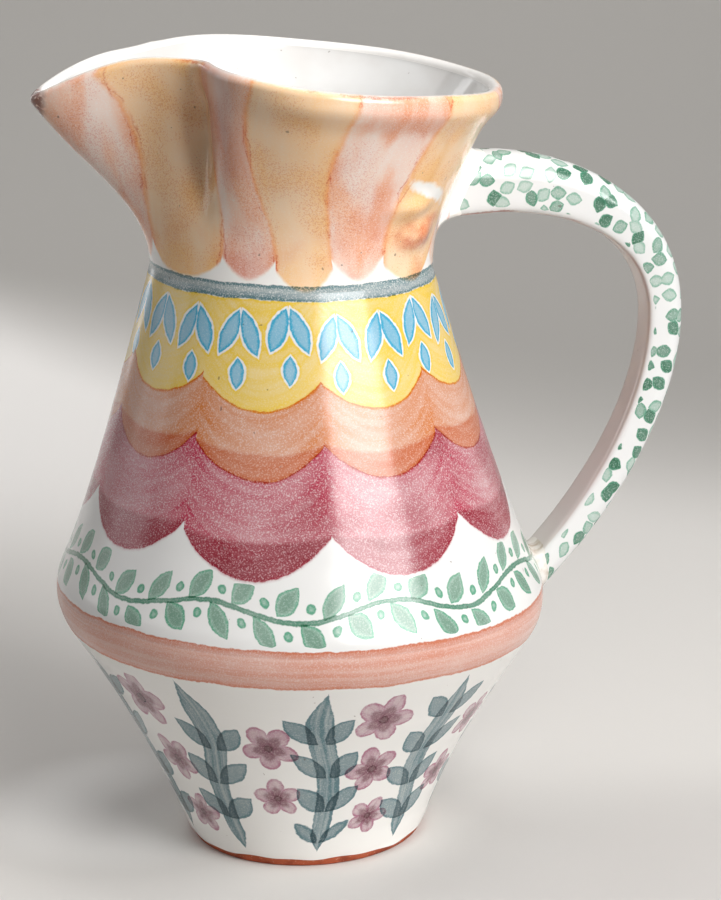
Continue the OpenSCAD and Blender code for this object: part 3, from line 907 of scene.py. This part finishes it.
# Lower bowl: under the foot, up the outside, over the joint and down the inside
def lower_bowl():
    seam_out, seam_in = seam_angle(0), seam_angle(WALL_T)
    roll = np.radians(np.linspace(0, 90, 6))
    outside = bezier(BOWL_FRAME, np.linspace(0, 1, 84))
    outside = outside[outside[:, 1] > BARE_H + 0.75]
    under = [(FOOT_HOLLOW_R * k / 12, FOOT_HOLLOW_H) for k in range(1, 13)]
    under += [(FOOT_HOLLOW_R + FOOT_HOLLOW_H, 0.0), (FOOT_HOLLOW_R + FOOT_HOLLOW_H + 0.4, 0.0)]
    bare_foot = FOOT_R - GLAZE_STEP
    bare = [(bare_foot - 0.8, 0.0), (bare_foot - 0.15, 0.25), (bare_foot + 0.1, 0.9)]
    bare += [(BARE_R - 0.1, BARE_H - 0.5)]
    edge = [(BARE_R + GLAZE_STEP * math.sin(a), BARE_H + 0.5 * (1 - math.cos(a))) for a in roll]
    shoulder = arc(-BOWL_LEAN, seam_out, 0, 20)[1:]
    step = math.degrees(SEAM_ROW / SHOULDER_ROUND)
    inside_arc = arc(seam_in, -BOWL_LEAN, WALL_T, 14)
    inside = bezier(INSIDE_FRAME, np.linspace(1, 0, 60))[1:]
    floor = [(inside_floor[0] * k / 10, inside_floor[1]) for k in range(9, 0, -1)]
    seam = shoulder_point([seam_out - step, seam_out], 0)
    parts = [under, bare, edge, outside, shoulder[:-1], seam, inside_arc, inside, floor]
    profile = np.concatenate([np.asarray(part, float).reshape(-1, 2) for part in parts])
    first_glaze = len(under) + len(bare)
    seam_row = sum(len(part) for part in parts[:6]) - 1
    inside_row = seam_row + 1
    grid = lathe(profile)
    a = np.radians(np.arange(WALL_COLUMNS) * 360 / WALL_COLUMNS)
    waver = 0.35 * np.sin(3 * a + 1) + 0.25 * np.sin(8 * a) + 0.18 * np.sin(17 * a + 2)
    grid[first_glaze:first_glaze + len(edge), :, 2] += waver
    zones = np.zeros(len(profile), int)
    zones[:first_glaze] = 2
    zones[seam_row:] = 1
    caps = [(0, 0, FOOT_HOLLOW_H), (0, 0, inside_floor[1])]
    return skin("lower_bowl_glazed", grid, [painted_bowl, white_inside, clay], zones, False, caps,
                (len(under) - 2, len(under) - 1, first_glaze, seam_row, inside_row))


# Upper cone: up the outside from one joint to the other, and down the inside
def upper_cone():
    seam_out, seam_in = seam_angle(0), seam_angle(WALL_T)
    step = math.degrees(SEAM_ROW / SHOULDER_ROUND)
    low = [shoulder_point([seam_out, seam_out + step], 0), arc(seam_out, SHOULDER_LEAN, 0, 16)[1:]]
    outside = bezier(CONE_FRAME, np.linspace(0, 1, 90))[1:-1]
    top = bezier(CONE_FRAME, np.array([1 - SEAM_ROW / cone_reach, 1.0]))
    inside = cone_inside(np.linspace(1, 0, 60))
    end = arc(SHOULDER_LEAN, seam_in, WALL_T, 12)[1:]
    parts = [*low, outside, top, inside, end]
    profile = np.concatenate(parts)
    top_row = sum(len(part) for part in parts[:4]) - 1
    zones = np.zeros(len(profile), int)
    zones[top_row:] = 1
    grid = lathe(profile)
    return skin("upper_cone_glazed", grid, [painted_cone, white_inside], zones,
                sharp=(0, top_row, top_row + 1, len(profile) - 1))


# Collar: up the outside, over the rounded lip and down the inside
def spouted_collar():
    angle = np.arange(COLLAR_COLUMNS) * 360 / COLLAR_COLUMNS
    t = np.concatenate([[0, SEAM_ROW / 70], np.linspace(0, 1, 64)[1:]])[:, None]
    outside = collar_point(angle, t)
    one = np.ones((1, 1))
    n, up, edge = collar_normal(angle, one), collar_climb(angle, one), collar_point(angle, one)
    turn = np.radians(np.linspace(0, 180, 17)[1:-1])[:, None, None]
    lip = edge + LIP_T / 2 * ((np.cos(turn) - 1) * n + np.sin(turn) * up)
    back = np.linspace(1, 0, 56)[:, None]
    thick = mix(WALL_T, LIP_T, back)[..., None]
    inside = collar_point(angle, back, False) - thick * collar_normal(angle, back, False)
    last = edge - LIP_T * n
    ease_in = step_up(back, (0.75, 1.0))[..., None]
    inside = mix(inside, inside + (last - inside[:1]), ease_in)
    grid = np.concatenate([outside, lip, inside])
    over = np.concatenate([(t - 1) * 70, np.linspace(0, 180, 17)[1:-1, None] / 180 * math.pi * LIP_T / 2,
                           np.full((len(back), 1), 20.0)])
    zones = np.zeros(len(grid), int)
    zones[len(t) + len(turn):] = 1
    return skin("spouted_collar_glazed", grid, [painted_collar, white_inside], zones,
                sharp=(0, len(grid) - 1), attributes={"over_lip": np.repeat(over, COLLAR_COLUMNS, 1)})


# Handle, swept along a centre line in the plane of the spout
handle_start = np.array([wall_radius(np.zeros(1), np.array([HANDLE_TOP_H]))[0], HANDLE_TOP_H])
handle_end = np.array([np.interp(HANDLE_LOW_H, BODY[:, 1], BODY[:, 0]), HANDLE_LOW_H])
tilt = math.degrees(math.atan(np.interp(HANDLE_LOW_H - 0.5, BODY[:, 1], BODY[:, 0])
                              - np.interp(HANDLE_LOW_H + 0.5, BODY[:, 1], BODY[:, 0])))
tail_reach = HANDLE_MID_H - HANDLE_LOW_H
bend = np.array([HANDLE_REACH, HANDLE_MID_H])
HANDLE_UPPER = [
    handle_start,
    np.array([mix(handle_start[0], HANDLE_REACH, ROOT_PULL), HANDLE_TOP_H + ROOT_LIFT]),
    np.array([HANDLE_REACH, mix(HANDLE_TOP_H, HANDLE_MID_H, BEND_PULL_UP)]),
    bend,
]
HANDLE_LOWER = [
    bend,
    np.array([HANDLE_REACH, mix(HANDLE_MID_H, HANDLE_LOW_H, BEND_PULL_DOWN)]),
    handle_end + tail_reach * TAIL_PULL * rise(90 - TAIL_ANGLE - tilt),
    handle_end,
]


def path_point(s):
    s = np.asarray(s, float)
    upper = bezier(HANDLE_UPPER, np.clip(2 * s, 0, 1))
    lower = bezier(HANDLE_LOWER, np.clip(2 * s - 1, 0, 1))
    return np.where((s < 0.5)[..., None], upper, lower)


def path_direction(s):
    return unit(path_point(np.minimum(1, s + 0.004)) - path_point(np.maximum(0, s - 0.004)))


def along_strap(sizes, s):
    root, middle, tail = sizes
    return np.where(s < 0.5, mix(root, middle, ease(np.clip(2 * s, 0, 1))),
                    mix(middle, tail, ease(np.clip(2 * s - 1, 0, 1))))


STRAP_TURN = np.arange(STRAP_COLUMNS) * 2 * np.pi / STRAP_COLUMNS


def strap_ring(s):
    """One ring of the strap, or several for an array of s, with its centre at share s of the path."""
    s = np.atleast_1d(np.asarray(s, float))[:, None]
    p, d = path_point(s), path_direction(s)
    c, w = np.cos(STRAP_TURN), np.sin(STRAP_TURN)
    power = 2 / np.where(w < 0, INNER_SQUARENESS, OUTER_SQUARENESS)
    across = along_strap(STRAP_W, s) / 2 * np.sign(c) * np.abs(c) ** power
    out = along_strap(STRAP_T, s) / 2 * np.sign(w) * np.abs(w) ** power
    return np.stack([p[..., 0] - d[..., 1] * out, across, p[..., 1] + d[..., 0] * out], -1)


def seat(top):
    """Where the strap's outline meets the wall at one end, and the direction in which it meets it."""
    s = 0.0 if top else 1.0
    d2 = path_direction(np.array([s]))[0] * (-1 if top else 1)
    d = np.array([d2[0], 0, d2[1]])
    ring = strap_ring(s)[0]
    near, far = np.full(STRAP_COLUMNS, -STRAP_T[0]), np.full(STRAP_COLUMNS, STRAP_T[0])
    for _ in range(30):
        half = (near + far) / 2
        p = ring + half[:, None] * d
        clear = np.hypot(p[:, 0], p[:, 1]) > wall_radius(np.degrees(np.arctan2(p[:, 1], p[:, 0])), p[:, 2])
        near, far = np.where(clear, half, near), np.where(clear, far, half)
    return ring + near[:, None] * d, d


def on_wall(p, proud=0.0):
    """The points moved on to the wall, or proud of it, at their own heights."""
    angle = np.degrees(np.arctan2(p[:, 1], p[:, 0]))
    r = wall_radius(angle, p[:, 2]) + proud
    return np.stack([r * np.cos(np.radians(angle)), r * np.sin(np.radians(angle)), p[:, 2]], -1)


root_share = (COIL_H[0] + STRAP_T[0] / 2) / (6 * np.linalg.norm(HANDLE_UPPER[1] - HANDLE_UPPER[0]))
tail_share = (COIL_H[1] + STRAP_T[2]) / (6 * np.linalg.norm(HANDLE_LOWER[3] - HANDLE_LOWER[2]))
SINK = 1.2


def handle():
    first, into_collar = seat(True)
    last, into_shoulder = seat(False)
    shares = np.linspace(root_share, 1 - tail_share, 190)
    body = strap_ring(shares)
    ramp = np.linspace(0, 1, 9)[:-1, None, None]
    grid = np.concatenate([
        first[None] + SINK * into_collar,
        mix(first, body[0], ramp),
        body,
        mix(last, body[-1], ramp)[::-1],
        last[None] + SINK * into_shoulder,
    ])
    middle = grid.mean(1)
    run = np.concatenate([[0], np.cumsum(np.linalg.norm(np.diff(middle, axis=0), axis=1))])
    side = np.linalg.norm(grid - np.roll(grid, 1, 1), axis=-1)
    top = STRAP_COLUMNS // 4
    beside = np.zeros(grid.shape[:2])
    for k in range(1, STRAP_COLUMNS // 2 + 1):
        ahead, before = (top + k) % STRAP_COLUMNS, (top + k - 1) % STRAP_COLUMNS
        beside[:, ahead] = beside[:, before] + side[:, ahead]
        back, after = (top - k) % STRAP_COLUMNS, (top - k + 1) % STRAP_COLUMNS
        beside[:, back] = beside[:, after] + side[:, after]
    along = np.repeat(run[:, None], STRAP_COLUMNS, 1)
    aside = beside * np.where(np.cos(STRAP_TURN) < 0, -1, 1)
    to_edge = beside[:, [top + 3 * STRAP_COLUMNS // 8]] - beside
    return skin("handle_glazed", grid, [painted_handle], None, False, [middle[0], middle[-1]],
                attributes={"along": along, "to_go": run[-1] - along, "aside": aside, "to_edge": to_edge})


def joint_coil(name, top, materials):
    """Clay smoothed into the corner between the handle and the wall."""
    corner = seat(top)[0]
    ring = strap_ring(root_share if top else 1 - tail_share)[0]
    centre = corner.mean(0)
    radial = unit(corner * [1, 1, 0])
    aside = corner - centre
    aside = unit(aside - np.sum(aside * radial, -1, keepdims=True) * radial)
    uneven = 1 + 0.16 * np.sin(3 * STRAP_TURN + 1.2) + 0.12 * np.sin(7 * STRAP_TURN + 0.4)
    spread, height = (COIL_SPREAD[0], COIL_H[0]) if top else (COIL_SPREAD[1], COIL_H[1])
    foot = on_wall(corner + spread * uneven[:, None] * aside)
    climb = corner + height * (uneven * 0.5 + 0.5)[:, None] * unit(ring - corner)
    pull = mix((foot + climb) / 2, corner, 0.86)
    t = np.linspace(0, 1, 15)[:, None, None]
    fillet = (1 - t) ** 2 * foot + 2 * t * (1 - t) * pull + t**2 * climb
    inward = unit(centre - climb)
    under = [on_wall(corner, -0.8), on_wall(mix(foot, corner, 0.5), -0.8), on_wall(foot, -0.8)]
    grid = np.concatenate([np.stack(under), fillet, (climb + 0.5 * inward)[None]])
    share = np.concatenate([np.zeros(3), np.linspace(0, 1, 15), [1]])
    return skin(name, grid, materials, sharp=(2, 3, 17, 18),
                attributes={"climb": np.repeat(share[:, None], STRAP_COLUMNS, 1)})


for piece, node, slot in (
    (lower_bowl(), "lower_bowl", "bowl_glaze"),
    (upper_cone(), "upper_cone", "cone_glaze"),
    (spouted_collar(), "spouted_collar", "collar_glaze"),
    (handle(), "handle", "handle_glaze"),
    (joint_coil("upper_joint_glazed", True, [painted_joint]), "upper_handle_coil", "collar_glaze"),
    (joint_coil("lower_joint_glazed", False, [white_joint]), "lower_handle_coil", "handle_glaze"),
):
    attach(piece, "root")
    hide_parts(node)


# Floor that curves up into a backdrop
def sweep():
    width, front, back, bend_r, top = 5.0, -5.0, 1.1, 0.7, 2.4
    line = [(front, 0.0), (back - bend_r, 0.0)]
    for a in np.radians(np.linspace(0, 90, 24)[1:]):
        line.append((back - bend_r + bend_r * math.sin(a), bend_r * (1 - math.cos(a))))
    line.append((back, top))
    points = [(x, y, z) for y, z in line for x in (-width, width)]
    faces = [(2 * i, 2 * i + 1, 2 * i + 3, 2 * i + 2) for i in range(len(line) - 1)]
    mesh = bpy.data.meshes.new("floor_and_backdrop")
    mesh.from_pydata(points, [], faces)
    mesh.polygons.foreach_set("use_smooth", np.ones(len(faces), bool))
    obj = bpy.data.objects.new("floor_and_backdrop", mesh)
    bpy.context.scene.collection.objects.link(obj)
    p = Paint("pale_paper", (215, 212, 208))
    x, y, z = p.split(p.place)
    # The light ends along a slanting edge, softer to the right
    past = y + x * 0.75 - 610.0
    soft = (x + 40.0).larger(0.0) * 0.40 + 55.0
    # Oval patches of painted light behind the jug and beside its foot, where it lifts the jug's shadow, and
    # of painted shade in front: colour, middle and reach
    for colour, (mid_x, mid_y), (reach_x, reach_y) in (
        ((231, 228, 225), (-60.0, 560.0), (190.0, 260.0)),
        ((250, 248, 245), (-62.0, 28.0), (60.0, 62.0)),
        ((200, 197, 194), (130.0, -100.0), (150.0, 130.0)),
    ):
        u, v = (x - mid_x) * (1 / reach_x), (y - mid_y) * (1 / reach_y)
        p.lay(colour, (u * u + v * v).smooth(1.0, 0.0), "MIX")
    p.lay((164, 161, 157), (past / soft).smooth(-1.0, 1.0), "MIX")
    # Less light comes back from the floor outside the picture, which keeps the foot in shade
    to_right = x - y * 0.5 - 300.0
    outside = (-130.0 - y).smooth(0.0, 200.0).larger((-170.0 - x).smooth(0.0, 200.0))
    outside = outside.larger(to_right.smooth(0.0, 200.0))
    p.lay((92, 90, 88), outside * p.ray("Is Diffuse Ray"), "MIX")
    # Far from the jug the camera sees one even pale tone, and from behind or below it sees through
    far = (-100.0 - y).smooth(0.0, 420.0).larger((-300.0 - x).smooth(0.0, 500.0))
    far = far.larger(to_right.smooth(0.0, 500.0)) * p.ray("Is Camera Ray")
    p.lay((0, 0, 0), far, "MIX")
    behind = Val(p.tree, p.tree.nodes.new("ShaderNodeNewGeometry").outputs["Backfacing"])
    mesh.materials.append(p.finish(0.75, p.noise(0.4, 3.0), 0.05, 0.3, ((212, 209, 206), far),
                                   behind * p.ray("Is Camera Ray")))
    return obj


sweep()


def area_light(name, place, target, size, power, colour=(1, 1, 1)):
    data = bpy.data.lights.new(name, "AREA")
    data.shape = "RECTANGLE"
    data.size, data.size_y = size
    data.energy = power
    data.color = colour
    lamp = bpy.data.objects.new(name, data)
    bpy.context.scene.collection.objects.link(lamp)
    lamp.visible_camera = False
    lamp.location = place
    lamp.rotation_euler = (Vector(target) - Vector(place)).to_track_quat("-Z", "Y").to_euler()
    return lamp


# The window lights the jug, and the pane is what the glaze mirrors of it
DAYLIGHT = (1.0, 0.995, 0.985)
window = area_light("window", (0.711, -1.138, 1.011), (0, 0, 0.14), (0.95, 1.5), 34, DAYLIGHT)
window.visible_glossy = False
pane = area_light("window_pane", (0.718, -1.209, 0.903), (0, 0, 0.14), (1.08, 0.95), 32, DAYLIGHT)
pane.visible_diffuse = False
area_light("left_fill", (-1.25, 0.55, 0.75), (0, 0, 0.15), (0.9, 1.2), 3.4)
area_light("left_strip", (-0.34, 0.725, 0.30), (0, 0, 0.15), (0.12, 0.55), 0.35)
area_light("top", (0.25, 0.25, 1.8), (0, 0, 0.2), (0.9, 0.9), 9)

scene = bpy.context.scene
world = bpy.data.worlds.new("studio")
scene.world = world
world.use_nodes = True
world.node_tree.nodes["Background"].inputs["Color"].default_value = (0.80, 0.80, 0.81, 1)
world.node_tree.nodes["Background"].inputs["Strength"].default_value = 0.19
scene.view_settings.view_transform = "Standard"

# Camera at the photo's angle, turned a little about its own axis
CAMERA_AT = (-0.1761, -0.9338, 0.405)
CAMERA_WAY = (0.2001, 0.9414, -0.2715)
ROLL = 0.020
LENS = 114.48
SENSOR = 36.0
forward = Vector(CAMERA_WAY).normalized()
level_right = forward.cross(Vector((0, 0, 1))).normalized()
level_up = level_right.cross(forward)
right = level_right * math.cos(ROLL) - level_up * math.sin(ROLL)
up = level_up * math.cos(ROLL) + level_right * math.sin(ROLL)
camera_data = bpy.data.cameras.new("camera")
camera_data.sensor_fit = "AUTO"
camera_data.sensor_width = SENSOR
camera_data.lens = LENS
camera = bpy.data.objects.new("camera", camera_data)
scene.collection.objects.link(camera)
turned = Matrix((right, up, -forward)).transposed().to_4x4()
camera.matrix_world = Matrix.Translation(CAMERA_AT) @ turned
scene.camera = camera
